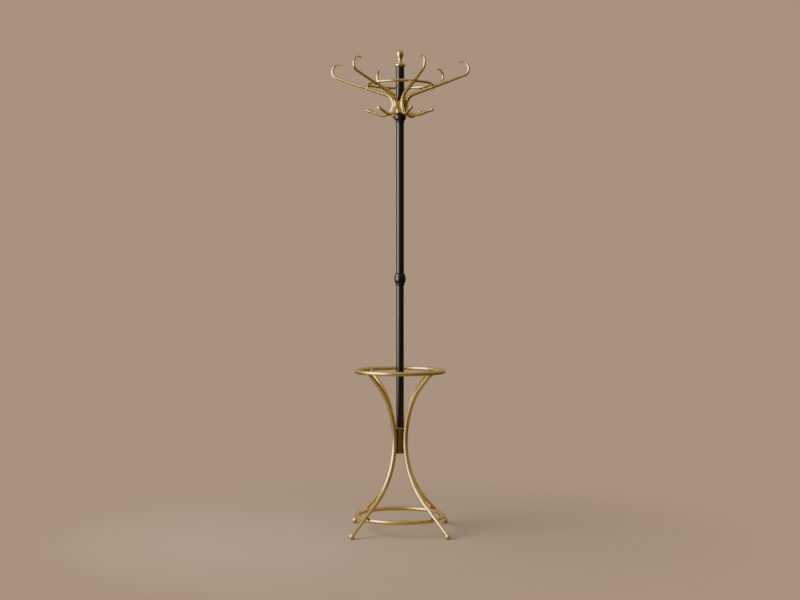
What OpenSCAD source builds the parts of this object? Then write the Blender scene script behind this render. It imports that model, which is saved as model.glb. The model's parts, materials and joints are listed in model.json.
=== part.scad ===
// Standing coat rack. Four tapered legs sit in the corner grooves of a square
// block and carry an umbrella ring above and a brace ring below. A two-length
// pole with turned collars stands on the block. On top of it a crown of six
// S-hooks with a hat ring turns about a fixed spindle.
// Millimetres. +Z is up. The origin is on the floor, on the axis of the pole.
// The front of the stand faces -Y.

/* [Height] */
// Height from the floor to the top of the finial
overall_h = 1850; // [1760:5:1920]
// Height at which the legs stand upright against the block
waist_z = 346.5; // [330:0.5:365]

/* [Legs] */
// Distance of a leg's centreline from the pole axis at the waist
waist_r = 29.8; // [29.4:0.1:30.4]
// Radius of the bend from the waist down towards the foot
foot_bend_r = 310; // [300:5:320]
// Turn of the bend from the waist down towards the foot, in degrees
foot_bend_deg = 49.2; // [48.6:0.1:50]
// Radius of the first bend from the waist up towards the umbrella ring
ring_bend_r = 344; // [330:2:360]
// Radius of the second, tighter bend below the umbrella ring
tip_bend_r = 255; // [240:5:270]
// Height of the centre of a ball foot
ball_z = 11.6; // [11.4:0.1:12]
// Diameter of a ball foot
ball_d = 22.6; // [21:0.2:23]

/* [Rings] */
// Length of straight leg between its last bend and the umbrella ring's centre
ring_reach = 70; // [60:1:80]
// Bar diameter of the umbrella ring and the brace ring
ring_bar_d = 17; // [14:0.5:18]
// Distance of the brace ring's screws from the ball foot's centre, up the leg
brace_up = 97; // [85:1:110]
// Thickness of the spacers between the legs and the brace ring
brace_gap = 3.7; // [3:0.1:6]

/* [Pole] */
// Diameter of the lower pole
lower_pole_d = 30; // [29:0.5:31]
// Diameter of the upper pole
upper_pole_d = 31; // [30:0.5:32]
// Share of the free pole length that is below the middle collar
lower_share = 0.487; // [0.4:0.001:0.6]
// Largest diameter of the middle collar
middle_bead_d = 44.6; // [40:0.2:48]
// Largest diameter of the upper collar
upper_bead_d = 46.6; // [40:0.2:48]

/* [Crown] */
// Diameter of the crown post
post_d = 33; // [32:0.5:34]
// Outside diameter of the sleeve that the hooks are brazed to
sleeve_d = 36.6; // [36:0.2:38]
// Height of the hook sleeve
sleeve_h = 45.5; // [40:0.5:50]
// Azimuth of the first hook, in degrees from +X
hook_azimuth = 50; // [0:1:60]
// Radius of the hat ring's centreline
hat_ring_r = 122; // [118:1:124]
// Bar diameter of the hat ring
hat_bar_d = 11; // [9:0.5:12]

/* [Hooks] */
// Bar diameter of a hook at its S-bend
hook_bar_d = 14.5; // [13:0.5:15]
// Radius of the bend above the sleeve
hook_top_r = 40; // [38:0.5:41]
// Radius of the cradle bend below
hook_low_r = 41; // [39:0.5:43]
// Rise of the long upper arm, in degrees
arm_rise = 19; // [18:0.5:20]
// Length of the straight part of the upper arm
arm_len = 205.5; // [195:0.5:206]
// Radius of the curl at the end of the upper arm
curl_r = 27.6; // [25:0.2:29]
// Rise of the short lower arm, in degrees
tail_rise = 21; // [18:1:23]
// Length of the straight part of the lower arm, up to its button
tail_len = 36.5; // [32:0.5:40]

/* [Hidden] */
$fn = 64;

brass = "#bb9a65";
dark_brass = "#5f4220";
lacquer = "#121310";
steel = "#a9abad";
nylon = "#d8d4c6";
rubber = "#26241f";

leg_azimuths = [225, 315, 135, 45]; // front left, front right, rear left, rear right
leg_sides = 14;
hook_sides = 12;
hook_count = 6;
slip = 0.15;      // clearance between fixed parts that slide together
running = 0.05;   // radial clearance of the crown's bushes on the spindle

// Leg bar radius against the share of the leg's length, counted from the foot
leg_taper = [[0, 6.2], [0.12, 7], [0.28, 9.2], [0.4, 9.7], [0.5, 9.2], [0.58, 9], [0.8, 8.6], [1, 8.2]];
leg_waist_bar_r = 9.2;
ring_bend_deg = 26;
tip_bend_deg = 20;
ring_bar_r = ring_bar_d / 2;
ball_r = ball_d / 2;
glide_r = 5.5;
glide_h = 4;
foot_stud_r = 3;
foot_stud_len = 16;
brace_screw_r = 2.5;
brace_screw_bite = 5.5;
brace_spacer_r = 4.5;

// Square block between the legs
block_half = 21;
block_z = 300;
plate_h = 4.5;
plate_half = 21.8;
block_top = 400.5;
tie_r = 5;
tie_head_r = 8.5;
tie_head_h = 6.4;
tie_washer_r = 12;
tie_washer_h = 2;
recess_r = 12.5;
recess_h = 9;

// Stack of the pole, from the block to the finial
plug_h = 30;
tube_wall = 2;
collar_bore_r = 6;
middle_h = 48;
upper_collar_h = 38.4;
washer_h = 0.8;
washer_gap = 0.3;
post_h = 175;
cap_h = 13.5;
finial_h = 53;
crown_lift = upper_collar_h + washer_h + washer_gap;
free_pole = overall_h - block_top - middle_h - crown_lift - post_h - cap_h - finial_h;
middle_z = block_top + free_pole * lower_share;
upper_pole_z = middle_z + middle_h;
upper_collar_z = upper_pole_z + free_pole * (1 - lower_share);
washer_z = upper_collar_z + upper_collar_h;
crown_z = upper_collar_z + crown_lift;
cap_z = crown_z + post_h;
finial_z = cap_z + cap_h;
stud_r = 6;
stud_engage = 22;

// Spindle that the crown turns on
post_bore_r = post_d / 2 - tube_wall;
bush_h = 20;
lower_bush_z = crown_z;
upper_bush_z = crown_z + 126;
spindle_washer_z = upper_bush_z + bush_h + washer_gap;
spindle_washer_h = 2;
nut_h = 8;
nut_r = 10;
spindle_end_z = spindle_washer_z + spindle_washer_h + nut_h + 2;
cap_plug_h = 12;
finial_stud_r = 4;

// Hooks
hook_bar_r = hook_bar_d / 2;
sleeve_r = sleeve_d / 2;
hook_z = crown_z + 32.5;
hook_r = sleeve_r + hook_bar_r;
curl_sweep = 191;
button_r = 7.6;
button_waist_r = 6.3;
button_len = 15.8;
hook_taper = [[0, 5.5], [0.07, 6], [0.2, 7.1], [0.36, 7.25], [0.44, 6.7], [0.56, 6.4],
    [0.72, 5.6], [0.82, 5], [0.91, 4.5], [0.97, 3], [1, 2.4]];
hat_bar_r = hat_bar_d / 2;
hat_gap = 2.6;
hat_screw_r = 2;
hat_spacer_r = 4;
hat_head_r = 3.9;
hat_head_h = 2.4;

// A centreline is a list of poses [r, z, heading, distance]. Heading is in
// degrees, measured from the outward direction and turning towards +Z.
function bend(radius, turn) = [radius * abs(turn) * PI / 180, turn, ceil(abs(turn) / 8)];
function straight(len, count) = [len, 0, count];

function moved(p, len, turn) =
    turn == 0
    ? [p[0] + len * cos(p[2]), p[1] + len * sin(p[2]), p[2], p[3] + len]
    : let (k = len * 180 / PI / turn, h = p[2] + turn)
      [p[0] + k * (sin(h) - sin(p[2])), p[1] - k * (cos(h) - cos(p[2])), h, p[3] + len];

function walk(p, runs, i = 0) =
    i == len(runs) ? [p] :
    let (run = runs[i], n = run[2])
    let (part = [for (k = [0:n - 1]) moved(p, run[0] * k / n, run[1] * k / n)])
    concat(part, walk(moved(p, run[0], run[1]), runs, i + 1));

// Solid bar along a centreline in the XZ plane; taper gives its radius against
// the share of its length.
module tapered_bar(path, taper, sides) {
    rings = len(path);
    full = path[rings - 1][3];
    points = [for (p = path, k = [0:sides - 1])
        let (a = 360 * k / sides, w = lookup(p[3] / full, taper))
        [p[0] - w * cos(a) * sin(p[2]), w * sin(a), p[1] + w * cos(a) * cos(p[2])]];
    walls = [for (i = [0:rings - 2], k = [0:sides - 1])
        let (m = (k + 1) % sides)
        [i * sides + k, i * sides + m, (i + 1) * sides + m, (i + 1) * sides + k]];
    first = [for (k = [sides - 1:-1:0]) k];
    last = [for (k = [0:sides - 1]) (rings - 1) * sides + k];
    polyhedron(points, concat([first], walls, [last]));
}

// Puts children at [r, z] in the XZ plane with their +Z along the heading.
module at_pose(r, z, heading) {
    translate([r, 0, z]) rotate([0, 90 - heading, 0]) children();
}

module rod(r, z0, z1) {
    translate([0, 0, z0]) cylinder(r = r, h = z1 - z0);
}

module tube(outer_r, inner_r, z0, z1) {
    difference() {
        rod(outer_r, z0, z1);
        rod(inner_r, z0 - 1, z1 + 1);
    }
}

// Leg centreline: straight foot, bend to the waist, bends out to the ring.
foot_slope = 90 - foot_bend_deg;
foot_bend_drop = foot_bend_r * sin(foot_bend_deg);
foot_bend_out = foot_bend_r * (1 - cos(foot_bend_deg));
foot_run = (waist_z - foot_bend_drop - ball_z) / sin(foot_slope);
ball_x = waist_r + foot_bend_out + foot_run * cos(foot_slope);
leg_seat = sqrt(pow(ball_r, 2) - pow(leg_taper[0][1], 2));
leg_start = [ball_x - leg_seat * cos(foot_slope), ball_z + leg_seat * sin(foot_slope)];
leg_path = walk([leg_start[0], leg_start[1], 180 - foot_slope, 0],
    [straight(foot_run - leg_seat, 4), bend(foot_bend_r, -foot_bend_deg),
     bend(ring_bend_r, -ring_bend_deg), bend(tip_bend_r, -tip_bend_deg),
     straight(ring_reach - ring_bar_r + 2, 3)]);
leg_tip = leg_path[len(leg_path) - 1];
ring_center = moved(leg_tip, ring_bar_r - 2, 0);

// Brace ring: square to the leg's straight foot, on its inner side.
brace_on_leg = [ball_x - brace_up * cos(foot_slope), ball_z + brace_up * sin(foot_slope)];
brace_leg_bar_r = lookup((brace_up - leg_seat) / leg_tip[3], leg_taper);
brace_offset = brace_leg_bar_r + brace_gap + ring_bar_r;
brace_r = brace_on_leg[0] - brace_offset * sin(foot_slope);
brace_z = brace_on_leg[1] - brace_offset * cos(foot_slope);
brace_heading = 90 - foot_slope;

module leg(i) {
    color(brass) rotate([0, 0, leg_azimuths[i]]) difference() {
        tapered_bar(leg_path, leg_taper, leg_sides);
        // coped end that the umbrella ring is brazed into
        translate([0, 0, ring_center[1]]) rotate_extrude($fn = 96)
            translate([ring_center[0], 0]) circle(ring_bar_r + slip);
        // tapped hole for the ball foot's stud
        at_pose(leg_start[0], leg_start[1], 180 - foot_slope)
            rod(foot_stud_r, -1, foot_stud_len / 2 + 0.5, $fn = 24);
        // tapped hole for the brace ring's screw
        at_pose(brace_r, brace_z, brace_heading)
            rod(brace_screw_r, ring_bar_r, brace_offset - brace_leg_bar_r + brace_screw_bite, $fn = 24);
    }
}

module foot(i) {
    color(brass) rotate([0, 0, leg_azimuths[i]]) difference() {
        translate([ball_x, 0, ball_z]) sphere(ball_r);
        // flat seat and tapped hole for the leg
        at_pose(ball_x, ball_z, 180 - foot_slope) {
            rod(ball_r, leg_seat, ball_r + 1);
            rod(foot_stud_r, leg_seat - foot_stud_len / 2, ball_r);
        }
        // recess for the floor glide
        translate([ball_x, 0, 0]) rod(glide_r, -1, glide_h);
        translate([ball_x, 0, 0]) rod(ball_r, -1, 1);
    }
}

module foot_studs() {
    color(steel) for (a = leg_azimuths) rotate([0, 0, a])
        at_pose(ball_x, ball_z, 180 - foot_slope)
            rod(foot_stud_r, leg_seat - foot_stud_len / 2, leg_seat + foot_stud_len / 2);
}

module floor_glides() {
    color(rubber) for (a = leg_azimuths) rotate([0, 0, a])
        translate([ball_x, 0, 0]) rod(glide_r, 0, glide_h);
}

module umbrella_ring() {
    color(brass) translate([0, 0, ring_center[1]]) rotate_extrude($fn = 96)
        translate([ring_center[0], 0]) circle(ring_bar_r);
}

module brace_ring() {
    color(brass) difference() {
        translate([0, 0, brace_z]) rotate_extrude($fn = 96)
            translate([brace_r, 0]) circle(ring_bar_r);
        for (a = leg_azimuths) rotate([0, 0, a]) at_pose(brace_r, brace_z, brace_heading)
            rod(brace_screw_r, -ring_bar_r - 1, ring_bar_r + 1);
    }
}

// Spacers between the brace ring and the legs, saddled to both.
module brace_spacers() {
    color(dark_brass) for (a = leg_azimuths) rotate([0, 0, a]) difference() {
        at_pose(brace_r, brace_z, brace_heading) difference() {
            rod(brace_spacer_r, ring_bar_r - 1, brace_offset - brace_leg_bar_r - 0.1);
            rod(brace_screw_r, 0, brace_offset);
        }
        translate([0, 0, brace_z]) rotate_extrude($fn = 96)
            translate([brace_r, 0]) circle(ring_bar_r);
    }
}

module brace_screws() {
    head_h = 2.6;
    color(brass) for (a = leg_azimuths) rotate([0, 0, a])
        at_pose(brace_r, brace_z, brace_heading) {
            rod(brace_screw_r, -ring_bar_r, brace_offset - brace_leg_bar_r + brace_screw_bite - 0.5);
            rod(1.8 * brace_screw_r, -ring_bar_r - head_h, -ring_bar_r);
        }
}

// Grooves for the four legs, following their bends.
module leg_grooves() {
    for (a = leg_azimuths) rotate([0, 0, a]) for (r = [foot_bend_r, ring_bend_r])
        translate([waist_r + r, 0, waist_z]) rotate([90, 0, 0]) rotate_extrude($fn = 180)
            translate([r, 0]) circle(leg_waist_bar_r + slip);
}

module block_slice(half, z0, z1) {
    difference() {
        translate([-half, -half, z0]) cube([2 * half, 2 * half, z1 - z0]);
        leg_grooves();
        rod(tie_r, z0 - 1, z1 + 1);
        // recess that hides the head of the tie bolt
        if (z0 < block_z + recess_h) rod(recess_r, z0 - 1, block_z + recess_h);
    }
}

module leg_block() {
    color(dark_brass) block_slice(block_half, block_z + plate_h, block_top - plate_h);
}

module block_bottom_plate() {
    color(brass) block_slice(plate_half, block_z, block_z + plate_h);
}

module block_top_plate() {
    color(brass) block_slice(plate_half, block_top - plate_h, block_top);
}

module tie_bolt() {
    seat = block_z + recess_h - tie_washer_h;
    color(steel) {
        rod(tie_r, seat, block_top + stud_engage);
        rod(tie_head_r, seat - tie_head_h, seat, $fn = 6);
    }
}

module tie_bolt_washer() {
    color(steel) tube(tie_washer_r, tie_r, block_z + recess_h - tie_washer_h, block_z + recess_h);
}

// Plug pressed into the end of a pole, with a tapped hole right through.
module plug(pole_d, hole_r, z) {
    color(steel) tube(pole_d / 2 - tube_wall, hole_r, z, z + plug_h);
}

module lower_pole() {
    color(lacquer) tube(lower_pole_d / 2, lower_pole_d / 2 - tube_wall, block_top, middle_z);
}

module lower_pole_bottom_plug() {
    plug(lower_pole_d, tie_r, block_top);
}

module lower_pole_top_plug() {
    plug(lower_pole_d, stud_r, middle_z - plug_h);
}

module upper_pole() {
    color(lacquer) tube(upper_pole_d / 2, upper_pole_d / 2 - tube_wall,
        upper_pole_z, upper_collar_z);
}

module upper_pole_bottom_plug() {
    plug(upper_pole_d, stud_r, upper_pole_z);
}

module upper_pole_top_plug() {
    plug(upper_pole_d, stud_r, upper_collar_z - plug_h);
}

module middle_stud() {
    color(steel) rod(stud_r, middle_z - stud_engage, upper_pole_z + stud_engage);
}

// Turned collar: a small ring bead at the foot and an egg-shaped bead above it.
function egg(z, low_h, high_h, low_r, high_r, top_r) =
    [for (t = [-90:9:90]) let (neck = t < 0 ? low_r : high_r, h = t < 0 ? low_h : high_h)
        [neck + (top_r - neck) * cos(t), z + h * sin(t)]];

module collar(foot_r, ring_r, egg_points) {
    ring_z = 6.2;
    ring_h = 3;
    ring_points = [for (t = [-90:15:90]) [foot_r + (ring_r - foot_r) * cos(t), ring_z + ring_h * sin(t)]];
    top = egg_points[len(egg_points) - 1];
    difference() {
        rotate_extrude() polygon(concat([[0, 0], [foot_r, 0]], ring_points, egg_points,
            [[0, top[1]]]));
        rod(collar_bore_r, -1, top[1] + 1);
    }
}

module middle_collar() {
    color(lacquer) translate([0, 0, middle_z]) collar(16.6, 18.6,
        egg(25, 15.2, middle_h - 25, 16.2, 15.7, middle_bead_d / 2));
}

module upper_collar() {
    color(lacquer) translate([0, 0, upper_collar_z]) collar(16, 18,
        egg(23, 13.2, upper_collar_h - 23, 15.6, 17.6, upper_bead_d / 2));
}

module crown_spindle() {
    color(steel) rod(stud_r, upper_collar_z - stud_engage, spindle_end_z);
}

module thrust_washer() {
    color(nylon) tube(16, stud_r, washer_z, washer_z + washer_h);
}

module spindle_washer() {
    color(steel) tube(nut_r, stud_r, spindle_washer_z, spindle_washer_z + spindle_washer_h);
}

module spindle_nut() {
    z = spindle_washer_z + spindle_washer_h;
    color(steel) difference() {
        rod(nut_r, z, z + nut_h, $fn = 6);
        rod(stud_r, z - 1, z + nut_h + 1);
    }
}

module crown_post() {
    color(lacquer) tube(post_d / 2, post_bore_r, crown_z, cap_z);
}

module lower_bush() {
    color(nylon) tube(post_bore_r, stud_r + running, lower_bush_z, lower_bush_z + bush_h);
}

module upper_bush() {
    color(nylon) tube(post_bore_r, stud_r + running, upper_bush_z, upper_bush_z + bush_h);
}

module hook_sleeve() {
    color(brass) tube(sleeve_r, post_d / 2, crown_z, crown_z + sleeve_h);
}

// Hook centreline, from the button end through the S-bend to the curled tip.
tail_path = walk([hook_r, hook_z, -90, 0],
    [bend(hook_low_r, 90 + tail_rise), straight(tail_len, 2)]);
tail_end = tail_path[len(tail_path) - 1];
hook_path = walk([tail_end[0], tail_end[1], 180 + tail_rise, 0],
    [straight(tail_len, 2), bend(hook_low_r, -90 - tail_rise), bend(hook_top_r, arm_rise - 90),
     straight(arm_len, 6), bend(curl_r, curl_sweep)]);

// Place where the hat ring sits above the arm.
top_bend_len = hook_top_r * (90 - arm_rise) * PI / 180;
arm_start = moved([hook_r, hook_z, 90, 0], top_bend_len, arm_rise - 90);
hat_run = tail_end[3] + top_bend_len + (hat_ring_r - arm_start[0]) / cos(arm_rise);
hat_share = hat_run / hook_path[len(hook_path) - 1][3];
hat_offset = lookup(hat_share, hook_taper) + hat_gap + hat_bar_r;
hat_foot_r = hat_ring_r + hat_offset * sin(arm_rise);
hat_foot_z = arm_start[1] + (hat_foot_r - arm_start[0]) * tan(arm_rise);
hat_ring_z = hat_foot_z + hat_offset * cos(arm_rise);

module hook(i) {
    color(brass) rotate([0, 0, hook_azimuth + 360 / hook_count * i]) difference() {
        tapered_bar(hook_path, hook_taper, hook_sides);
        at_pose(hat_foot_r, hat_foot_z, 90 + arm_rise) rod(hat_screw_r, -8, 8, $fn = 20);
    }
}

module around_crown() {
    for (i = [0:hook_count - 1]) rotate([0, 0, hook_azimuth + 360 / hook_count * i]) children();
}

// Turned button on the end of each lower arm: a ring bead, a waist and a
// barrel with a shallow domed end.
module hook_buttons() {
    bead_h = 2.6;
    barrel_z = 11;
    barrel_h = 3.4;
    bead = [for (t = [-90:15:90])
        [button_waist_r + (button_r - button_waist_r) * cos(t), 0.05 + bead_h + bead_h * sin(t)]];
    barrel = [for (t = [-90:15:60])
        [button_waist_r + 0.9 * (button_r - button_waist_r) * cos(t), barrel_z + barrel_h * sin(t)]];
    dome = [for (t = [15:15:90]) [5.6 * cos(t), button_len - 2 + 2 * sin(t)]];
    color(brass) around_crown() at_pose(tail_end[0], tail_end[1], tail_rise)
        rotate_extrude() polygon(concat([[0, 0.05]], bead, barrel, dome));
}

module hat_ring() {
    color(brass) difference() {
        translate([0, 0, hat_ring_z]) rotate_extrude($fn = 96)
            translate([hat_ring_r, 0]) circle(hat_bar_r);
        around_crown() at_pose(hat_ring_r, hat_ring_z, arm_rise - 90)
            rod(hat_screw_r, -hat_bar_r / 2 - 0.5, hat_bar_r + 1);
    }
}

module hat_ring_spacers() {
    color(dark_brass) difference() {
        around_crown() at_pose(hat_ring_r, hat_ring_z, arm_rise - 90) difference() {
            rod(hat_spacer_r, 2, hat_bar_r + hat_gap - 0.05);
            rod(hat_screw_r, 0, hat_bar_r + hat_gap + 1);
        }
        translate([0, 0, hat_ring_z]) rotate_extrude($fn = 96)
            translate([hat_ring_r, 0]) circle(hat_bar_r);
    }
}

// Screws from below each arm up into the hat ring.
module hat_ring_screws() {
    seat = 2 * hat_offset - hat_bar_r - hat_gap;
    color(brass) around_crown() at_pose(hat_ring_r, hat_ring_z, arm_rise - 90) {
        rod(hat_screw_r, -hat_bar_r / 2, seat);
        rod(hat_head_r, seat, seat + hat_head_h);
    }
}

// Bead-edged cap on the crown post, with a plug that goes down inside it.
module post_cap() {
    edge_r = cap_h / 2;
    rim = [for (t = [-90:10:90]) [15.2 + edge_r * cos(t), edge_r + edge_r * sin(t)]];
    color(brass) translate([0, 0, cap_z]) difference() {
        union() {
            rotate_extrude() polygon(concat([[0, 0]], rim, [[0, cap_h]]));
            rod(post_bore_r, -cap_plug_h, 1);
        }
        rod(finial_stud_r, -cap_plug_h - 1, cap_h + 1);
    }
}

// Pear-shaped finial on a small bead foot.
module finial() {
    bulb_r = 15;
    neck_r = 8;
    foot_r = 10.6;
    foot_h = 3.4;
    neck_z = 11;
    bulb_z = finial_h - bulb_r;
    foot_bead = [for (t = [-90:15:60]) [foot_r - foot_h + foot_h * cos(t), foot_h + foot_h * sin(t)]];
    waist = [for (s = [0:0.1:1]) [neck_r + (bulb_r - neck_r) * (1 - cos(180 * s)) / 2,
        neck_z + (bulb_z - neck_z) * s]];
    crown = [for (t = [7.5:7.5:90]) [bulb_r * cos(t), bulb_z + bulb_r * sin(t)]];
    color(brass) translate([0, 0, finial_z]) difference() {
        rotate_extrude() polygon(concat([[0, 0]], foot_bead, waist, crown));
        rod(finial_stud_r, -1, 17);
    }
}

module finial_stud() {
    color(steel) rod(finial_stud_r, cap_z - 4, finial_z + 16);
}

leg(0);  // leg_front_left
leg(1);  // leg_front_right
leg(2);  // leg_rear_left
leg(3);  // leg_rear_right
foot(0);  // foot_front_left
foot(1);  // foot_front_right
foot(2);  // foot_rear_left
foot(3);  // foot_rear_right
foot_studs();
floor_glides();
umbrella_ring();
brace_ring();
brace_spacers();
brace_screws();
leg_block();
block_bottom_plate();
block_top_plate();
tie_bolt();
tie_bolt_washer();
lower_pole();
lower_pole_bottom_plug();
lower_pole_top_plug();
middle_collar();
middle_stud();
upper_pole();
upper_pole_bottom_plug();
upper_pole_top_plug();
upper_collar();
crown_spindle();
thrust_washer();
spindle_washer();
spindle_nut();
crown_post();
lower_bush();
upper_bush();
hook_sleeve();
hook(0);  // hook_1
hook(1);  // hook_2
hook(2);  // hook_3
hook(3);  // hook_4
hook(4);  // hook_5
hook(5);  // hook_6
hook_buttons();
hat_ring();
hat_ring_spacers();
hat_ring_screws();
post_cap();
finial();
finial_stud();
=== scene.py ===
import json
import math
import bmesh
import bpy
from mathutils import Matrix, Vector


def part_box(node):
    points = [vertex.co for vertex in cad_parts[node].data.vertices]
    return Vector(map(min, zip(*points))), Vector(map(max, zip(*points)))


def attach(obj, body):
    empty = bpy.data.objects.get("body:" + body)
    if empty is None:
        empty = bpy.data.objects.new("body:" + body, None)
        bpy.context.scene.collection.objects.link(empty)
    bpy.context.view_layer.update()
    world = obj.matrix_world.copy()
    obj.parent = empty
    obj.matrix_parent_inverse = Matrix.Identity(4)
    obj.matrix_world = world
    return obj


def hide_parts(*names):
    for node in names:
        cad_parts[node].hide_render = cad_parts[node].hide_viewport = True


# Coat stand: satin brass legs, rings and hooks, black lacquered pole.
# Metres, same frame as the CAD. Base is fixed, crown turns about +Z.
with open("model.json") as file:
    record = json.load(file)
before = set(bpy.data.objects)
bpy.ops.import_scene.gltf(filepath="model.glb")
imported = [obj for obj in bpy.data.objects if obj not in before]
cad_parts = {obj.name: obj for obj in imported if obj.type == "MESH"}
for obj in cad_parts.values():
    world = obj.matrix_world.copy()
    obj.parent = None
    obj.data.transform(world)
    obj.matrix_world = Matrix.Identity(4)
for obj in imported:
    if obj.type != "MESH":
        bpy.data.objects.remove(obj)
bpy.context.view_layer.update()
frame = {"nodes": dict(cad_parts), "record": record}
print("frame loaded:", len(frame["nodes"]), "nodes")

scene = bpy.context.scene
legAzimuths = {"front_left": 225, "front_right": 315, "rear_left": 135, "rear_right": 45}
hookAzimuths = [50 + 60 * i for i in range(6)]


# finishes

def addNode(tree, kind, values=None, **settings):
    made = tree.nodes.new("ShaderNode" + kind)
    for key, value in settings.items():
        setattr(made, key, value)
    for socket, value in (values or {}).items():
        made.inputs[socket].default_value = value
    return made


def newMaterial(name, metallic):
    material = bpy.data.materials.new(name)
    material.use_nodes = True
    tree = material.node_tree
    surface = tree.nodes["Principled BSDF"]
    surface.inputs["Metallic"].default_value = metallic
    return material, tree, surface


def noise(tree, vector, scale, detail=3.0, roughness=0.5):
    made = addNode(tree, "TexNoise", {"Scale": scale, "Detail": detail, "Roughness": roughness})
    tree.links.new(vector, made.inputs["Vector"])
    return made.outputs[0]


def stretched(tree, vector, scale):
    made = addNode(tree, "Mapping", {"Scale": scale})
    tree.links.new(vector, made.inputs["Vector"])
    return made.outputs[0]


def remap(tree, value, fromLow, fromHigh, toLow, toHigh):
    spans = {"From Min": fromLow, "From Max": fromHigh, "To Min": toLow, "To Max": toHigh}
    made = addNode(tree, "MapRange", spans)
    tree.links.new(value, made.inputs["Value"])
    return made.outputs[0]


def combine(tree, kind, first, second):
    made = addNode(tree, "Math", operation=kind)
    for socket, value in zip(made.inputs, (first, second)):
        if isinstance(value, float):
            socket.default_value = value
        else:
            tree.links.new(value, socket)
    return made.outputs[0]


def mixColour(tree, factor, first, second):
    made = addNode(tree, "Mix", data_type="RGBA")
    tree.links.new(factor, made.inputs[0])
    for socket, value in ((made.inputs[6], first), (made.inputs[7], second)):   # the two colours
        if isinstance(value, tuple):
            socket.default_value = (*value, 1)
        else:
            tree.links.new(value, socket)
    return made.outputs[2]


def bump(tree, height, strength, distance, below=None):
    made = addNode(tree, "Bump", {"Strength": strength, "Distance": distance})
    tree.links.new(height, made.inputs["Height"])
    if below is not None:
        tree.links.new(below, made.inputs["Normal"])
    return made.outputs[0]


def attribute(tree, name, output):
    return addNode(tree, "Attribute", attribute_name=name).outputs[output]


def objectPoint(tree):
    return addNode(tree, "TexCoord").outputs["Object"]


brassTones = {
    "clean": (0.71, 0.55, 0.245),
    "toned": (0.58, 0.435, 0.175),
    "grime": (0.13, 0.082, 0.032),
    "worn": (0.8, 0.65, 0.34),
}
brassFinish = {
    "smoothest": 0.285, "roughest": 0.345,
    "lineRoughness": 0.05, "wornSmoother": 0.02, "jointRougher": 0.28,
    "wornShare": 0.8,
    # bump strength and distance
    "wave": (0.3, 0.0004), "lines": (0.12, 0.00002), "pits": (0.1, 0.00003),
}


def brassMaterial(name, turned):
    # turned pieces carry fine lathe rings, bars carry polishing lines along their length
    material, tree, surface = newMaterial(name, 1.0)
    grain = attribute(tree, "grain", "Vector")
    point = objectPoint(tree)
    tone = noise(tree, point, 9.0, 5.0, 0.6)
    blotch = noise(tree, point, 55.0, 4.0, 0.65)
    wide = combine(tree, "MULTIPLY", tone, 0.65)
    narrow = combine(tree, "MULTIPLY", blotch, 0.35)
    mottle = remap(tree, combine(tree, "ADD", wide, narrow), 0.36, 0.66, 0.0, 1.0)
    colour = mixColour(tree, mottle, brassTones["clean"], brassTones["toned"])
    worn = attribute(tree, "worn", "Fac")
    polished = combine(tree, "MULTIPLY", worn, brassFinish["wornShare"])
    colour = mixColour(tree, polished, colour, brassTones["worn"])
    joint = attribute(tree, "joint", "Fac")
    speck = remap(tree, noise(tree, point, 420.0, 3.0), 0.35, 0.7, 0.35, 1.0)
    colour = mixColour(tree, combine(tree, "MULTIPLY", joint, speck), colour, brassTones["grime"])
    tree.links.new(colour, surface.inputs["Base Color"])
    if turned:
        lines = noise(tree, stretched(tree, grain, (30, 30, 4200)), 1.0, 2.0)
    else:
        lines = noise(tree, stretched(tree, grain, (900, 900, 14)), 1.0, 4.0, 0.6)
    rough = remap(tree, blotch, 0.3, 0.75, brassFinish["smoothest"], brassFinish["roughest"])
    rough = combine(tree, "ADD", rough, combine(tree, "MULTIPLY", lines, brassFinish["lineRoughness"]))
    rough = combine(tree, "SUBTRACT", rough, combine(tree, "MULTIPLY", worn, brassFinish["wornSmoother"]))
    rough = combine(tree, "ADD", rough, combine(tree, "MULTIPLY", joint, brassFinish["jointRougher"]))
    tree.links.new(rough, surface.inputs["Roughness"])
    wave = bump(tree, noise(tree, point, 26.0, 2.0), *brassFinish["wave"])
    fine = bump(tree, lines, *brassFinish["lines"], wave)
    pits = remap(tree, noise(tree, point, 1500.0, 2.0), 0.64, 0.76, 0.0, -1.0)
    tree.links.new(bump(tree, pits, *brassFinish["pits"], fine), surface.inputs["Normal"])
    return material


# painted shade and reflection: this brass is darkened to stand in for the dark room that the block's flat
# faces reflect, and for the shade on the spacers between the rings and the legs and arms
blockTones = {
    "flat": (0.27, 0.17, 0.07),
    "clouded": (0.17, 0.1, 0.04),
    # painted shade colour for the corners beside the legs, and how far from them it reaches
    "paintedShade": (0.03, 0.018, 0.008),
    "corner": (0.0211, 0.0211, 0),   # the legs' seats, folded into one quarter
    "shadeFrom": 0.0095, "shadeTo": 0.015,
}


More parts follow.
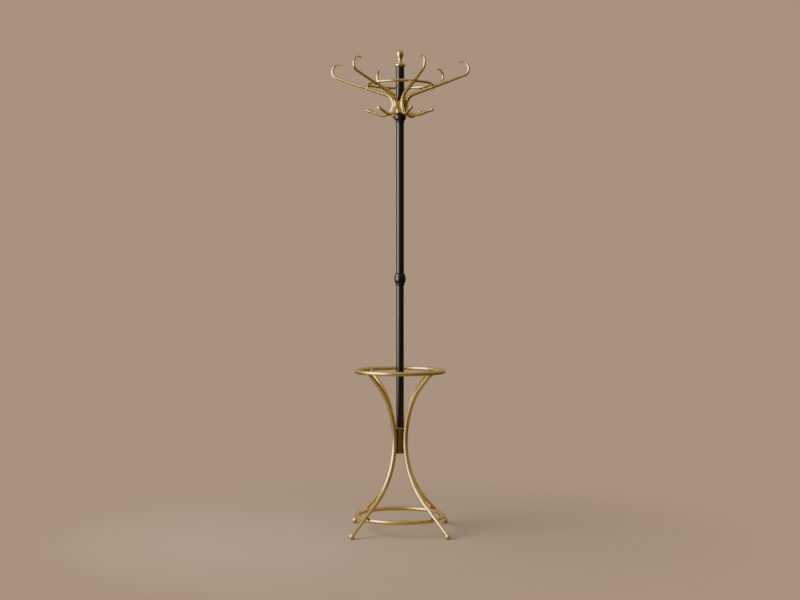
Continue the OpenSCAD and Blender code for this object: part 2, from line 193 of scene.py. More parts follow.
def shadeDarkBrassMaterial():
    material, tree, surface = newMaterial("paintedShadeBrass", 1.0)
    point = objectPoint(tree)
    mill = noise(tree, stretched(tree, point, (2600, 2600, 22)), 1.0, 4.0)
    cloud = noise(tree, point, 46.0, 5.0, 0.65)
    clouded = remap(tree, cloud, 0.35, 0.68, 0.0, 1.0)
    colour = mixColour(tree, clouded, blockTones["flat"], blockTones["clouded"])
    # painted shade: the block is darkened in the corners beside the legs, where the legs shade it
    folded = addNode(tree, "VectorMath", operation="ABSOLUTE")
    tree.links.new(point, folded.inputs[0])
    flat = stretched(tree, folded.outputs["Vector"], (1, 1, 0))
    away = addNode(tree, "VectorMath", operation="DISTANCE")
    away.inputs[1].default_value = blockTones["corner"]
    tree.links.new(flat, away.inputs[0])
    legShadeMask = remap(tree, away.outputs["Value"], blockTones["shadeFrom"], blockTones["shadeTo"], 1.0, 0.0)
    colour = mixColour(tree, legShadeMask, colour, blockTones["paintedShade"])
    tree.links.new(colour, surface.inputs["Base Color"])
    rough = remap(tree, cloud, 0.3, 0.7, 0.3, 0.46)
    rough = combine(tree, "ADD", rough, combine(tree, "MULTIPLY", mill, 0.1))
    tree.links.new(rough, surface.inputs["Roughness"])
    tree.links.new(bump(tree, mill, 0.35, 0.00005), surface.inputs["Normal"])
    return material


lacquerTones = {
    "deep": (0.0028, 0.003, 0.0022),
    "faded": (0.006, 0.0062, 0.0048),
    "dust": (0.06, 0.056, 0.05),
    "dustShare": 0.2,
    "spread": 0.05, "scuffs": 0.05,   # how far the roughness varies
    "shine": 0.45,
}


def lacquerMaterial(name, turned, smoothest):
    material, tree, surface = newMaterial(name, 0.0)
    point = objectPoint(tree)
    cloud = noise(tree, stretched(tree, point, (1, 1, 0.35)), 38.0, 4.0, 0.6)
    dust = remap(tree, noise(tree, point, 2400.0, 1.0), 0.66, 0.74, 0.0, 1.0)
    faded = remap(tree, cloud, 0.3, 0.7, 0.0, 1.0)
    colour = mixColour(tree, faded, lacquerTones["deep"], lacquerTones["faded"])
    dust = combine(tree, "MULTIPLY", dust, lacquerTones["dustShare"])
    colour = mixColour(tree, dust, colour, lacquerTones["dust"])
    tree.links.new(colour, surface.inputs["Base Color"])
    scuff = noise(tree, stretched(tree, point, (700, 700, 18)), 1.0, 3.0)
    rough = remap(tree, cloud, 0.3, 0.72, smoothest, smoothest + lacquerTones["spread"])
    rough = combine(tree, "ADD", rough, combine(tree, "MULTIPLY", scuff, lacquerTones["scuffs"]))
    tree.links.new(rough, surface.inputs["Roughness"])
    surface.inputs["Specular IOR Level"].default_value = lacquerTones["shine"]
    peel = bump(tree, noise(tree, point, 620.0, 2.0), 0.1, 0.00003)
    if turned:
        rings = noise(tree, stretched(tree, point, (8, 8, 2600)), 1.0, 2.0)
        peel = bump(tree, rings, 0.18, 0.00003, peel)
    tree.links.new(peel, surface.inputs["Normal"])
    return material


def steelMaterial():
    material, tree, surface = newMaterial("zincSteel", 1.0)
    point = objectPoint(tree)
    spangle = noise(tree, point, 260.0, 4.0, 0.6)
    colour = mixColour(tree, remap(tree, spangle, 0.3, 0.7, 0.0, 1.0), (0.5, 0.51, 0.52), (0.66, 0.66, 0.63))
    tree.links.new(colour, surface.inputs["Base Color"])
    tree.links.new(remap(tree, spangle, 0.3, 0.7, 0.26, 0.44), surface.inputs["Roughness"])
    tree.links.new(bump(tree, spangle, 0.2, 0.00005), surface.inputs["Normal"])
    return material


def plasticMaterial(name, light, dark, roughLow, roughHigh, grainScale):
    material, tree, surface = newMaterial(name, 0.0)
    point = objectPoint(tree)
    cloud = noise(tree, point, grainScale / 8, 4.0, 0.6)
    grain = noise(tree, point, grainScale, 2.0)
    tree.links.new(mixColour(tree, cloud, light, dark), surface.inputs["Base Color"])
    tree.links.new(remap(tree, cloud, 0.3, 0.7, roughLow, roughHigh), surface.inputs["Roughness"])
    tree.links.new(bump(tree, grain, 0.4, 0.00008), surface.inputs["Normal"])
    return material


barBrass = brassMaterial("barBrass", False)
turnedBrass = brassMaterial("turnedBrass", True)
shadeDarkBrass = shadeDarkBrassMaterial()
poleLacquer = lacquerMaterial("poleLacquer", False, 0.275)
collarLacquer = lacquerMaterial("collarLacquer", True, 0.3)
zincSteel = steelMaterial()
nylon = plasticMaterial("naturalNylon", (0.76, 0.74, 0.66), (0.66, 0.63, 0.54), 0.38, 0.55, 1400.0)
rubber = plasticMaterial("blackRubber", (0.02, 0.019, 0.017), (0.034, 0.032, 0.028), 0.55, 0.8, 2200.0)
print("materials made")


# shapes

meshSetup = {"weld": 1e-6, "sliver": 2e-6}


def arc(centreR, centreZ, radiusR, radiusZ, fromDeg, toDeg, count):
    # round stretch of a lathe outline
    angles = [math.radians(fromDeg + (toDeg - fromDeg) * i / count) for i in range(count + 1)]
    return [(centreR + radiusR * math.cos(a), centreZ + radiusZ * math.sin(a)) for a in angles]


def lathe(outline, steps=72, closed=False):
    # turns an outline of (radius, height) about Z and stores the grain direction
    bm = bmesh.new()
    verts = [bm.verts.new((r, 0, z)) for r, z in outline]
    edges = [bm.edges.new(pair) for pair in zip(verts, verts[1:])]
    if closed:
        edges.append(bm.edges.new((verts[-1], verts[0])))
    bmesh.ops.spin(bm, geom=verts + edges, cent=(0, 0, 0), axis=(0, 0, 1), angle=math.tau,
                   steps=steps, use_merge=True, use_duplicate=False)
    bmesh.ops.remove_doubles(bm, verts=bm.verts, dist=meshSetup["weld"])
    bmesh.ops.recalc_face_normals(bm, faces=bm.faces)
    grain = bm.verts.layers.float_vector.new("grain")
    bm.verts.layers.float.new("joint")
    bm.verts.layers.float.new("worn")
    for vert in bm.verts:
        vert[grain] = vert.co
    return bm


def follow(start, runs, distance=None):
    # pose (r, z, heading) on a centreline of (length, turn in degrees) runs
    r, z, heading = start
    left = sum(run[0] for run in runs) if distance is None else distance
    for i, (length, turn) in enumerate(runs):
        part = left if i == len(runs) - 1 else min(left, length)
        if turn == 0:
            r += part * math.cos(heading)
            z += part * math.sin(heading)
        else:
            k = length / math.radians(turn)
            after = heading + part / k
            r += k * (math.sin(after) - math.sin(heading))
            z -= k * (math.cos(after) - math.cos(heading))
            heading = after
        left -= part
        if left <= 0:
            break
    return r, z, heading


def bend(radius, turn):
    return radius * abs(math.radians(turn)), turn


def eased(table, share):
    # smooth step between the points of a taper table
    for (s0, r0), (s1, r1) in zip(table, table[1:]):
        if share <= s1:
            t = (share - s0) / (s1 - s0)
            return r0 + (r1 - r0) * t * t * (3 - 2 * t)
    return table[-1][1]


def taperedBar(length, table, spacing, domeEnd, steps=40):
    # straight bar turned along Z, ready to be bent, with a flat start and a flat or rounded end
    count = int(length / spacing)
    body = [(eased(table, i / count), length * i / count) for i in range(count + 1)]
    first, last = table[0][1], table[-1][1]
    inset = 0.6   # extra loop on a flat end
    start = [(0, 0), (first * inset, 0)]
    end = arc(0, length, last, domeEnd, 9, 90, 9) if domeEnd else [(last * inset, length), (0, length)]
    return lathe(start + body + end, steps)


braze = {"swell": 0.55, "inside": 0.3, "tarnish": 0.7, "tarnishWidth": 0.45}   # shares of the braze's reach


def bendBar(bm, start, runs, neighbour, reach):
    # lays a straight bar along its centreline and swells it where it is brazed to a neighbour
    joint = bm.verts.layers.float["joint"]
    for vert in bm.verts:
        across, aside, along = vert.co
        r, z, heading = follow(start, runs, along)
        offset = Vector((-across * math.sin(heading), -aside, across * math.cos(heading)))
        centre = Vector((r, 0, z))
        if neighbour:
            gap = neighbour(centre + offset)
            fade = reach if gap > 0 else reach * braze["inside"]
            close = max(0.0, 1 - abs(gap) / fade)
            offset *= 1 + close * close * reach * braze["swell"] / max(offset.length, 0.001)
            vert[joint] = braze["tarnish"] * max(0.0, 1 - abs(gap) / (reach * braze["tarnishWidth"]))
        vert.co = centre + offset


def placed(bm, matrix):
    bmesh.ops.transform(bm, matrix=matrix, verts=bm.verts)
    return bm


def poseMatrix(r, z, heading):
    # puts local +Z along a heading in the XZ plane
    return Matrix.Translation((r, 0, z)) @ Matrix.Rotation(math.pi / 2 - heading, 4, "Y")


def turnedTo(azimuth):
    return Matrix.Rotation(math.radians(azimuth), 4, "Z")


def meshOf(name, bm):
    # turns a bmesh into a mesh and frees it
    mesh = bpy.data.meshes.new(name)
    bm.to_mesh(mesh)
    bm.free()
    return mesh


def placedInScene(name, data):
    made = bpy.data.objects.new(name, data)
    scene.collection.objects.link(made)
    return made


def merged(parts):
    # gathers several shapes into one bmesh
    whole = bmesh.new()
    for part in parts:
        mesh = meshOf("part", part)
        whole.from_mesh(mesh)
        bpy.data.meshes.remove(mesh)
    return whole


def copies(bm, matrices):
    # one shape at several places
    mesh = meshOf("copy", bm)
    whole = bmesh.new()
    for matrix in matrices:
        mesh.transform(matrix)
        whole.from_mesh(mesh)
        mesh.transform(matrix.inverted())
    bpy.data.meshes.remove(mesh)
    return whole


def smoothed(mesh, sharpAngle=38):
    mesh.shade_smooth()
    mesh.set_sharp_from_angle(angle=math.radians(sharpAngle))


def finished(name, bm, material, body, nodes, sharpAngle=38):
    mesh = meshOf(name, bm)
    mesh.materials.append(material)
    smoothed(mesh, sharpAngle)
    piece = placedInScene(name, mesh)
    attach(piece, body)
    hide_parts(*nodes)
    return piece


def applyModifiers(piece):
    # bakes a piece's modifiers into its mesh and clears the slivers that a cut leaves
    depsgraph = bpy.context.evaluated_depsgraph_get()
    mesh = bpy.data.meshes.new_from_object(piece.evaluated_get(depsgraph))
    piece.modifiers.clear()
    bm = bmesh.new()
    bm.from_mesh(mesh)
    bmesh.ops.remove_doubles(bm, verts=bm.verts, dist=meshSetup["sliver"])
    bmesh.ops.dissolve_degenerate(bm, dist=meshSetup["sliver"], edges=bm.edges)
    bm.to_mesh(mesh)
    bm.free()
    piece.data = mesh


def cutAway(piece, shape):
    # takes a shape out of a piece
    cutter = placedInScene("cutter", meshOf("cutter", shape))
    cut = piece.modifiers.new("cut", "BOOLEAN")
    cut.operation = "DIFFERENCE"
    cut.solver = "EXACT"
    cut.object = cutter
    bpy.context.view_layer.update()
    applyModifiers(piece)
    bpy.data.objects.remove(cutter)


def ringOf(node):
    # centreline radius, height and bar radius of a ring in the frame
    low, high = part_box(node)
    bar = (high.z - low.z) / 2
    return (high.x - low.x) / 2 - bar, (high.z + low.z) / 2, bar


def ringBar(radius, height, bar, steps=200, sides=40):
    # closed ring of round bar, with its grain along the bar
    bm = bmesh.new()
    section = Matrix.Translation((radius, 0, 0)) @ Matrix.Rotation(math.pi / 2, 4, "X")
    bmesh.ops.create_circle(bm, cap_ends=False, segments=sides, radius=bar, matrix=section)
    bmesh.ops.spin(bm, geom=bm.verts[:] + bm.edges[:], cent=(0, 0, 0), axis=(0, 0, 1), angle=math.tau,
                   steps=steps, use_merge=True, use_duplicate=False)
    bmesh.ops.recalc_face_normals(bm, faces=bm.faces)
    grain = bm.verts.layers.float_vector.new("grain")
    bm.verts.layers.float.new("joint")
    bm.verts.layers.float.new("worn")
    for vert in bm.verts:
        vert[grain] = (vert.co.xy.length - radius, vert.co.z, 0.4 * (vert.co.x + vert.co.y))
    return placed(bm, Matrix.Translation((0, 0, height)))


# camera, light and floor

cameraSetup = {"distance": 5.6904, "height": 1.0215, "pitch": 1.3134, "lens": 66.64}
cameraData = bpy.data.cameras.new("camera")
cameraData.lens = cameraSetup["lens"]
camera = placedInScene("camera", cameraData)
camera.location = (0, -cameraSetup["distance"], cameraSetup["height"])
camera.rotation_euler = (math.radians(90 - cameraSetup["pitch"]), 0, 0)
scene.camera = camera


def softbox(name, place, aim, size, power, colour):
    data = bpy.data.lights.new(name, "AREA")
    data.shape = "RECTANGLE"
    data.size, data.size_y = size
    data.energy = power
    data.color = colour
    light = placedInScene(name, data)
    light.location = place
    light.rotation_euler = (Vector(aim) - Vector(place)).to_track_quat("-Z", "Y").to_euler()
    light.visible_camera = False


softbox("keyWindow", (-3.0, -1.38, 1.9), (0, 0, 1.85), (3.1, 3.1), 290, (1.0, 0.945, 0.85))

room = {
    "backdrop": (0.469, 0.319, 0.208),
    "behind": (0.45, 0.34, 0.24),
    "front": (0.2, 0.182, 0.158),
    "above": (0.55, 0.5, 0.42),
    "below": (0.07, 0.052, 0.035),
}


def studioWorld():
    # plain warm backdrop to the camera; the metal sees a dim room, lighter above and behind
    world = bpy.data.worlds.new("studio")
    scene.world = world
    world.use_nodes = True
    tree = world.node_tree
    background = tree.nodes["Background"]
    axes = addNode(tree, "SeparateXYZ")
    tree.links.new(addNode(tree, "TexCoord").outputs["Generated"], axes.inputs[0])
    behind = remap(tree, axes.outputs["Y"], -0.3, 0.4, 0.0, 1.0)
    above = remap(tree, axes.outputs["Z"], 0.1, 0.9, 0.0, 1.0)
    below = remap(tree, axes.outputs["Z"], 0.02, -0.25, 0.0, 1.0)
    shade = mixColour(tree, behind, room["front"], room["behind"])
    shade = mixColour(tree, above, shade, room["above"])
    shade = mixColour(tree, below, shade, room["below"])
    seen = addNode(tree, "LightPath").outputs["Is Camera Ray"]
    tree.links.new(mixColour(tree, seen, shade, room["backdrop"]), background.inputs["Color"])
    background.inputs["Strength"].default_value = 1.0


studioWorld()
floorSetup = {
    "size": 1.5, "fadeFrom": 0.42, "fadeTo": 1.4,
    "darker": (0.36, 0.278, 0.21), "lighter": (0.38, 0.295, 0.223),
}


def paleFloor():
    # pale floor that fades into the backdrop
    bm = bmesh.new()
    bmesh.ops.create_circle(bm, cap_ends=True, segments=96, radius=floorSetup["size"])
    mesh = meshOf("floor", bm)
    material, tree, surface = newMaterial("paleFloor", 0.0)
    point = objectPoint(tree)
    cloud = noise(tree, point, 1.3, 4.0)
    colour = mixColour(tree, cloud, floorSetup["darker"], floorSetup["lighter"])
    tree.links.new(colour, surface.inputs["Base Color"])
    tree.links.new(remap(tree, cloud, 0.3, 0.7, 0.6, 0.7), surface.inputs["Roughness"])
    away = addNode(tree, "VectorMath", operation="LENGTH")
    tree.links.new(point, away.inputs[0])
    fade = remap(tree, away.outputs["Value"], floorSetup["fadeFrom"], floorSetup["fadeTo"], 1.0, 0.0)
    tree.links.new(fade, surface.inputs["Alpha"])
    mesh.materials.append(material)
    placedInScene("floor", mesh)


paleFloor()
print("camera, light and floor set")


# the three rings

umbrellaR, umbrellaZ, umbrellaBar = ringOf("umbrella_ring")
braceR, braceZ, braceBar = ringOf("brace_ring")
hatR, hatZ, hatBar = ringOf("hat_ring")
for name, node, body in (("umbrellaRing", "umbrella_ring", "base"), ("braceRing", "brace_ring", "base"),
                         ("hatRing", "hat_ring", "crown")):
    finished(name, ringBar(*ringOf(node)), barBrass, body, [node])
print("rings made")


# legs: straight tapered bars, bent and brazed to the umbrella ring

leg = {
    "waistR": 0.0298, "waistZ": 0.3465,
    "footBendR": 0.310, "footBendDeg": 49.2,
    "ringBendR": 0.344, "ringBendDeg": 26,
    "tipBendR": 0.255, "tipBendDeg": 20,
    "ballZ": 0.0116, "ballR": 0.0113,
    "taper": [(0, 0.0062), (0.12, 0.007), (0.28, 0.0092), (0.4, 0.0097), (0.5, 0.0092),
              (0.58, 0.009), (0.8, 0.0086), (1, 0.0082)],
    "seatDepth": 0.003,   # how far the bar goes into the ball foot
    "brazeReach": 0.0055,
    "spacing": 0.004,   # between loops of the mesh
}
legRise = math.radians(90 - leg["footBendDeg"])
footTurn = math.radians(leg["footBendDeg"])
footBendDrop = leg["footBendR"] * math.sin(footTurn)
footBendOut = leg["footBendR"] * (1 - math.cos(footTurn))
footRun = (leg["waistZ"] - footBendDrop - leg["ballZ"]) / math.sin(legRise)
ballX = leg["waistR"] + footBendOut + footRun * math.cos(legRise)
ballSeat = math.sqrt(leg["ballR"] ** 2 - leg["taper"][0][1] ** 2) - leg["seatDepth"]
legStart = (ballX - ballSeat * math.cos(legRise), leg["ballZ"] + ballSeat * math.sin(legRise),
            math.pi - legRise)
legBends = [(footRun - ballSeat, 0), bend(leg["footBendR"], -leg["footBendDeg"]),
            bend(leg["ringBendR"], -leg["ringBendDeg"]), bend(leg["tipBendR"], -leg["tipBendDeg"])]
lastBend = follow(legStart, legBends)
ringReach = (umbrellaR - lastBend[0]) / math.cos(lastBend[2])
legRuns = legBends + [(ringReach, 0)]
legLength = sum(run[0] for run in legRuns)


def ringGap(point):
    # distance from a point to the umbrella ring's surface
    return math.hypot(point.xy.length - umbrellaR, point.z - umbrellaZ) - umbrellaBar


def legBar(extra=0.0, joined=True):
    table = [(share, radius + extra) for share, radius in leg["taper"]]
    bm = taperedBar(legLength, table, leg["spacing"], 0)
    bendBar(bm, legStart, legRuns, ringGap if joined else None, leg["brazeReach"])
    return bm


for side, azimuth in legAzimuths.items():
    node = "leg_" + side
    finished(node, placed(legBar(), turnedTo(azimuth)), barBrass, "base", [node])
print("legs made")


# ball feet and glides

foot = {
    "flatZ": 0.001,
    "collarR": 0.0078, "collarH": 0.0026, "collarSink": 0.002, "collarRaise": 0.6,
    "glideR": 0.0055, "glideEdge": 0.0006,
}
footTarnish = {
    "collar": 0.35, "collarAbove": 0.001, "collarFade": 0.002,
    "floor": 0.5, "floorBelow": 0.004, "floorFade": 0.006,
}


def footBall():
    # ball with a flat underside, and a small collar where the leg enters
    flat = math.degrees(math.asin((foot["flatZ"] - leg["ballZ"]) / leg["ballR"]))
    outline = [(0, foot["flatZ"])] + arc(0, leg["ballZ"], leg["ballR"], leg["ballR"], flat, 90, 30)
    ball = placed(lathe(outline), Matrix.Translation((ballX, 0, 0)))
    seat = math.sqrt(leg["ballR"] ** 2 - foot["collarR"] ** 2)
    half = foot["collarH"] / 2
    shoulder = foot["collarR"] - half
    bead = [(0, seat - foot["collarSink"]), (shoulder, seat - foot["collarSink"])]
    bead += arc(shoulder, seat + half * foot["collarRaise"], half, half, -90, 90, 10)
    bead += [(0, seat + half * (1 + foot["collarRaise"]))]
    collar = placed(lathe(bead), poseMatrix(ballX, leg["ballZ"], math.pi - legRise))
    whole = merged([ball, collar])
    joint = whole.verts.layers.float["joint"]
    for vert in whole.verts:
        depth = leg["ballZ"] - vert.co.z
        fromCollar = abs(math.hypot(vert.co.x - ballX, depth) - seat - footTarnish["collarAbove"])
        atCollar = 1 - fromCollar / footTarnish["collarFade"] if depth < 0 else 0.0
        atFloor = min(1.0, (depth - footTarnish["floorBelow"]) / footTarnish["floorFade"])
        vert[joint] = max(0.0, footTarnish["collar"] * atCollar, footTarnish["floor"] * atFloor)
    return whole


for side, azimuth in legAzimuths.items():
    node = "foot_" + side
    finished(node, placed(footBall(), turnedTo(azimuth)), turnedBrass, "base", [node])

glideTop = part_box("floor_glides")[1].z
glideFlat = foot["glideR"] - foot["glideEdge"]
glideOutline = [(0, 0)] + arc(glideFlat, foot["glideEdge"], foot["glideEdge"], foot["glideEdge"], -90, 0, 4)
glideOutline += [(foot["glideR"], glideTop), (0, glideTop)]
glidePlaces = [turnedTo(azimuth) @ Matrix.Translation((ballX, 0, 0)) for azimuth in legAzimuths.values()]
finished("floorGlides", copies(lathe(glideOutline, 48), glidePlaces), rubber, "base",
         ["floor_glides"])
print("feet made")


# spacers and screws of the brace ring

brace = {
    "legShare": 0.13,   # how far along the leg the spacer meets it
    "spacerR": 0.0046, "spacerSink": 0.0012, "spacerEdge": 0.0005,
    "headR": 0.0046, "headH": 0.0027, "headSink": 0.0002, "socketR": 0.0016, "socketDepth": 0.0014,
}


def socketHead(screw):
    # domed screw head, flat side down, with a hexagonal socket
    radius, height = screw["headR"], screw["headH"]
    outline = [(0, 0), (radius, 0)] + arc(0, 0, radius, height, 12, 78, 9) + [(0, height)]
    head = placedInScene("head", meshOf("head", lathe(outline, 36)))
    socket = bmesh.new()
    bmesh.ops.create_cone(socket, cap_ends=True, segments=6, radius1=screw["socketR"],
                          radius2=screw["socketR"], depth=2 * screw["socketDepth"],
                          matrix=Matrix.Translation((0, 0, height)))
    cutAway(head, socket)
    bm = bmesh.new()
    bm.from_mesh(head.data)
    bpy.data.objects.remove(head)
    return bm


def spacerOutline(radius, low, high, edge):
    return [(0, low), (radius - edge, low), (radius, low + edge), (radius, high - edge),
            (radius - edge, high), (0, high)]


bracePose = poseMatrix(braceR, braceZ, math.pi / 2 - legRise)
bracePlaces = [turnedTo(azimuth) @ bracePose for azimuth in legAzimuths.values()]
braceToLeg = (ballX - braceR) * math.sin(legRise) + (leg["ballZ"] - braceZ) * math.cos(legRise)
legFace = braceToLeg - eased(leg["taper"], brace["legShare"])
braceSpacer = lathe(spacerOutline(brace["spacerR"], braceBar - brace["spacerSink"],
                                  legFace + brace["spacerSink"], brace["spacerEdge"]), 48)
# the spacers get the darkened brass: painted shade between the brace ring and the legs
finished("braceSpacers", copies(braceSpacer, bracePlaces), shadeDarkBrass, "base",
         ["brace_spacers"])
headFlip = Matrix.Translation((0, 0, brace["headSink"] - braceBar)) @ Matrix.Rotation(math.pi, 4, "X")
finished("braceScrews", copies(socketHead(brace), [place @ headFlip for place in bracePlaces]), turnedBrass,
         "base", ["brace_screws"])
print("brace fixings made")


# block between the legs, with its two plates

block = {
    "slip": 0.00018, "edge": 0.0006,
    "recessR": 0.0125, "recessBottom": 0.29, "recessTop": 0.309,   # round the tie bolt's head
}


def blockPiece(name, node, material):
    low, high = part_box(node)
    bm = bmesh.new()
    bmesh.ops.create_cube(bm, size=1)
    placed(bm, Matrix.Translation((low + high) / 2) @ Matrix.Diagonal((*(high - low), 1)))
    piece = finished(name, bm, material, "base", [node])
    grooves = merged([placed(legBar(block["slip"], False), turnedTo(azimuth))
                      for azimuth in legAzimuths.values()])
    recess = lathe([(0, block["recessBottom"]), (block["recessR"], block["recessBottom"]),
                    (block["recessR"], block["recessTop"]), (0, block["recessTop"])])
    cutAway(piece, grooves)
    cutAway(piece, recess)   # apart from the grooves, or a cap is left over the recess
    bevel = piece.modifiers.new("edges", "BEVEL")
    bevel.width = block["edge"]
    bevel.segments = 3
    bevel.limit_method = "ANGLE"
    bevel.angle_limit = math.radians(50)
    applyModifiers(piece)
    smoothed(piece.data)


blockPiece("legBlock", "leg_block", shadeDarkBrass)
blockPiece("blockTopPlate", "block_top_plate", turnedBrass)
blockPiece("blockBottomPlate", "block_bottom_plate", turnedBrass)
print("block made")


# pole, crown post, sleeve and collars

tube = {"poleWall": 0.002, "sleeveWall": 0.0018, "poleEdge": 0.0004, "sleeveEdge": 0.0007}


def straightTube(name, node, wall, material, body, edge):
    low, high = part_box(node)
    outer = (high.x - low.x) / 2
    inner = outer - wall
    outline = [(inner, low.z), (outer - edge, low.z), (outer, low.z + edge), (outer, high.z - edge),
               (outer - edge, high.z), (inner, high.z)]
    finished(name, lathe(outline, 96, closed=True), material, body, [node])


for name, node, body in (("lowerPole", "lower_pole", "base"), ("upperPole", "upper_pole", "base"),
                         ("crownPost", "crown_post", "crown")):
    straightTube(name, node, tube["poleWall"], poleLacquer, body, tube["poleEdge"])
straightTube("hookSleeve", "hook_sleeve", tube["sleeveWall"], turnedBrass, "crown",
             tube["sleeveEdge"])

turning = {"boreR": 0.006, "edge": 0.0004, "ringZ": 0.0062, "ringH": 0.003}   # the same on both collars
collarShape = {
    "middle_collar": {"foot": 0.0166, "ring": 0.0186, "lowNeck": 0.0162, "highNeck": 0.0157,
                      "beadZ": 0.025, "lowHeight": 0.0152},
    "upper_collar": {"foot": 0.0160, "ring": 0.0180, "lowNeck": 0.0156, "highNeck": 0.0176,
                     "beadZ": 0.023, "lowHeight": 0.0132},
}


def collarPiece(name, node):
    # from below: a small ring bead, a neck, then an egg bead with its widest line at beadZ
    shape = collarShape[node]
    low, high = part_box(node)
    bead = (high.x - low.x) / 2
    beadZ = shape["beadZ"]
    top = high.z - low.z
    bore, edge = turning["boreR"], turning["edge"]
    outline = [(bore, 0), (shape["foot"] - edge, 0), (shape["foot"], edge)]
    outline += arc(shape["foot"], turning["ringZ"], shape["ring"] - shape["foot"], turning["ringH"],
                   -90, 90, 14)
    outline += arc(shape["lowNeck"], beadZ, bead - shape["lowNeck"], shape["lowHeight"], -90, 0, 22)
    outline += arc(shape["highNeck"], beadZ, bead - shape["highNeck"], top - beadZ, 0, 90, 26)[1:]
    outline += [(bore, top)]
    bm = placed(lathe(outline, 96, closed=True), Matrix.Translation((0, 0, low.z)))
    finished(name, bm, collarLacquer, "base", [node], sharpAngle=50)


collarPiece("middleCollar", "middle_collar")
collarPiece("upperCollar", "upper_collar")
print("pole and collars made")


# hooks and their buttons

hook = {
    "barR": 0.00725, "seatZ": 0.0325,
    "lowR": 0.041, "topR": 0.040, "curlR": 0.0274,
    "armRise": 19, "armLength": 0.2055, "curlSweep": 191,
    "tailRise": 21, "tailLength": 0.0365,
    "taper": [(0, 0.0055), (0.07, 0.006), (0.2, 0.0071), (0.36, 0.00725), (0.44, 0.0067), (0.56, 0.0064),
              (0.72, 0.0056), (0.82, 0.005), (0.91, 0.0045), (0.97, 0.003), (1, 0.0024)],
    "tipDome": 0.0022, "brazeReach": 0.0042, "spacing": 0.0028,
}
wear = {
    "cradleShare": 0.45, "cradleWidth": 0.022,   # share of the low bend
    "curlShare": 0.72, "curlWidth": 0.02,        # share of the curl, from its tip
    "turnover": 0.6,   # past this share of the bar the rubbed side is the other one
    "blend": 0.005,
}
sleeveLow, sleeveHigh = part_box("hook_sleeve")
sleeveR = (sleeveHigh.x - sleeveLow.x) / 2
hookSeat = (sleeveR + hook["barR"], sleeveLow.z + hook["seatZ"], -math.pi / 2)
tailEnd = follow(hookSeat, [bend(hook["lowR"], 90 + hook["tailRise"]), (hook["tailLength"], 0)])
hookStart = (tailEnd[0], tailEnd[1], tailEnd[2] + math.pi)
hookRuns = [(hook["tailLength"], 0), bend(hook["lowR"], -90 - hook["tailRise"]),
            bend(hook["topR"], hook["armRise"] - 90), (hook["armLength"], 0),
            bend(hook["curlR"], hook["curlSweep"])]
hookLength = sum(run[0] for run in hookRuns)


def sleeveGap(point):
    # distance from a point to the sleeve's surface
    outside = point.xy.length - sleeveR
    past = max(sleeveLow.z - point.z, point.z - sleeveHigh.z, 0.0)
    return math.hypot(outside, past)


def rubbed(distance):
    # where loops and brims have polished the bar: in the cradle and in the curl
    cradle = hookRuns[0][0] + hookRuns[1][0] * wear["cradleShare"]
    curl = hookLength - hookRuns[4][0] * wear["curlShare"]
    return max(math.exp(-((distance - cradle) / wear["cradleWidth"]) ** 2),
               math.exp(-((distance - curl) / wear["curlWidth"]) ** 2))


def hookBar():
    bm = taperedBar(hookLength, hook["taper"], hook["spacing"], hook["tipDome"], 36)
    worn = bm.verts.layers.float["worn"]
    for vert in bm.verts:
        upper = 0.5 + 0.5 * max(-1.0, min(1.0, -vert.co.x / wear["blend"]))
        if vert.co.z > hookLength * wear["turnover"]:
            upper = 1 - upper
        vert[worn] = rubbed(vert.co.z) * upper
    bendBar(bm, hookStart, hookRuns, sleeveGap, hook["brazeReach"])
    return bm


for number, azimuth in enumerate(hookAzimuths, 1):
    node = "hook_%d" % number
    finished(node, placed(hookBar(), turnedTo(azimuth)), barBrass, "crown", [node])

button = {
    "waistR": 0.0063, "rimR": 0.0076, "rimH": 0.0026,
    "barrelZ": 0.011, "barrelH": 0.0034, "barrelShare": 0.9,   # of the rim's rise above the waist
    "length": 0.0158, "endR": 0.0058, "endH": 0.0009, "endDrop": 0.0012,
}
rimRise = button["rimR"] - button["waistR"]
barrelRise = button["barrelShare"] * rimRise
buttonOutline = [(0, 0)] + arc(button["waistR"], button["rimH"], rimRise, button["rimH"], -90, 90, 14)
buttonOutline += arc(button["waistR"], button["barrelZ"], barrelRise, button["barrelH"], -90, 60, 14)
buttonOutline += arc(0, button["length"] - button["endDrop"], button["endR"], button["endH"], 12, 90, 12)
buttonPose = poseMatrix(tailEnd[0], tailEnd[1], tailEnd[2])
buttons = copies(lathe(buttonOutline, 56), [turnedTo(azimuth) @ buttonPose for azimuth in hookAzimuths])
finished("hookButtons", buttons, turnedBrass, "crown", ["hook_buttons"], sharpAngle=50)
print("hooks and buttons made")


# spacers and screws of the hat ring

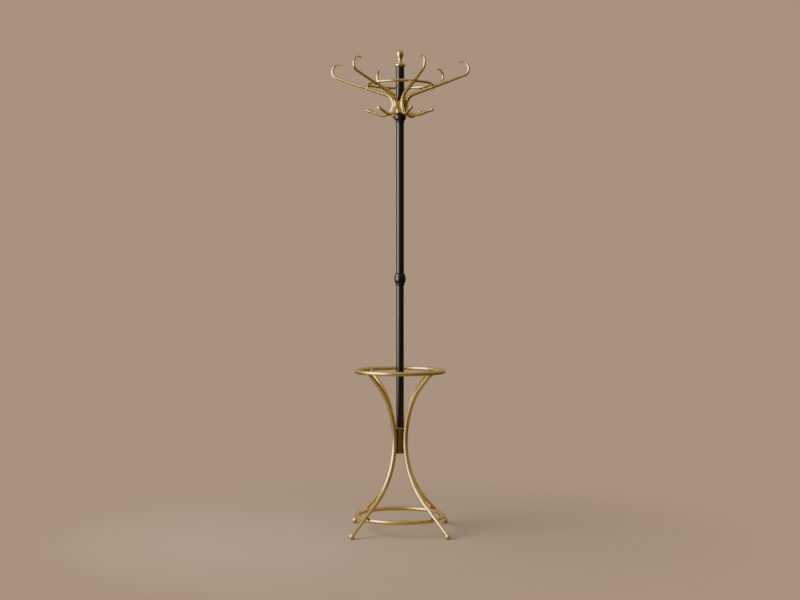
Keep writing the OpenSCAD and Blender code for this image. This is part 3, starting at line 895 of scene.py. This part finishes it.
hatFix = {
    "gap": 0.0026, "armR": 0.0065,   # between the ring and the arm, and the arm's bar there
    "spacerR": 0.0041, "spacerSink": 0.001, "spacerEdge": 0.0004,
    "headR": 0.004, "headH": 0.0025, "headSink": 0.0002, "socketR": 0.0014, "socketDepth": 0.0013,
}
hatPose = poseMatrix(hatR, hatZ, math.radians(hook["armRise"] - 90))
hatPlaces = [turnedTo(azimuth) @ hatPose for azimuth in hookAzimuths]
armFace = hatBar + hatFix["gap"]
hatSpacer = lathe(spacerOutline(hatFix["spacerR"], hatBar - hatFix["spacerSink"],
                                armFace + hatFix["spacerSink"], hatFix["spacerEdge"]), 40)
# the spacers get the darkened brass: painted shade between the hat ring and the arms
finished("hatRingSpacers", copies(hatSpacer, hatPlaces), shadeDarkBrass, "crown",
         ["hat_ring_spacers"])
headSeat = Matrix.Translation((0, 0, armFace + 2 * hatFix["armR"] - hatFix["headSink"]))
finished("hatRingScrews", copies(socketHead(hatFix), [place @ headSeat for place in hatPlaces]), turnedBrass,
         "crown", ["hat_ring_screws"])
print("hat ring fixings made")


# cap and finial

capShape = {"flatR": 0.0152, "height": 0.0135}
capLow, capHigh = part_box("post_cap")
capRim = (capHigh.x - capLow.x) / 2 - capShape["flatR"]
capHalf = capShape["height"] / 2
capOutline = [(0, 0)] + arc(capShape["flatR"], capHalf, capRim, capHalf, -90, 90, 36)
capOutline += [(0, capShape["height"])]
capPiece = placed(lathe(capOutline, 96), Matrix.Translation((0, 0, capHigh.z - capShape["height"])))
finished("postCap", capPiece, turnedBrass, "crown", ["post_cap"], sharpAngle=60)

finialShape = {
    "bulbR": 0.015, "neckR": 0.008, "neckZ": 0.011,
    "footR": 0.0106, "footH": 0.0034,
    "flareSteps": 24,
}
finialLow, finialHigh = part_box("finial")
bulbZ = finialHigh.z - finialLow.z - finialShape["bulbR"]
footH = finialShape["footH"]
finialOutline = [(0, 0)] + arc(finialShape["footR"] - footH, footH, footH, footH, -90, 60, 14)
for i in range(finialShape["flareSteps"] + 1):
    share = i / finialShape["flareSteps"]
    swell = (1 - math.cos(math.pi * share)) / 2
    radius = finialShape["neckR"] + (finialShape["bulbR"] - finialShape["neckR"]) * swell
    finialOutline.append((radius, finialShape["neckZ"] + (bulbZ - finialShape["neckZ"]) * share))
finialOutline += arc(0, bulbZ, finialShape["bulbR"], finialShape["bulbR"], 3, 90, 28)
finialPiece = placed(lathe(finialOutline, 80), Matrix.Translation((0, 0, finialLow.z)))
finished("finial", finialPiece, turnedBrass, "crown", ["finial"], sharpAngle=60)
print("cap and finial made")


# pieces kept from the frame

slotMaterials = {"zinc_steel": zincSteel, "nylon": nylon, "black_rubber": rubber, "satin_brass": turnedBrass,
                 "block_brass": shadeDarkBrass, "black_lacquer": poleLacquer}
slots = {part["node"]: part["material_slot"] for part in frame["record"]["subparts"]}
for node, piece in frame["nodes"].items():
    piece.data.materials.clear()
    piece.data.materials.append(slotMaterials[slots[node]])
print("frame pieces given their finishes")
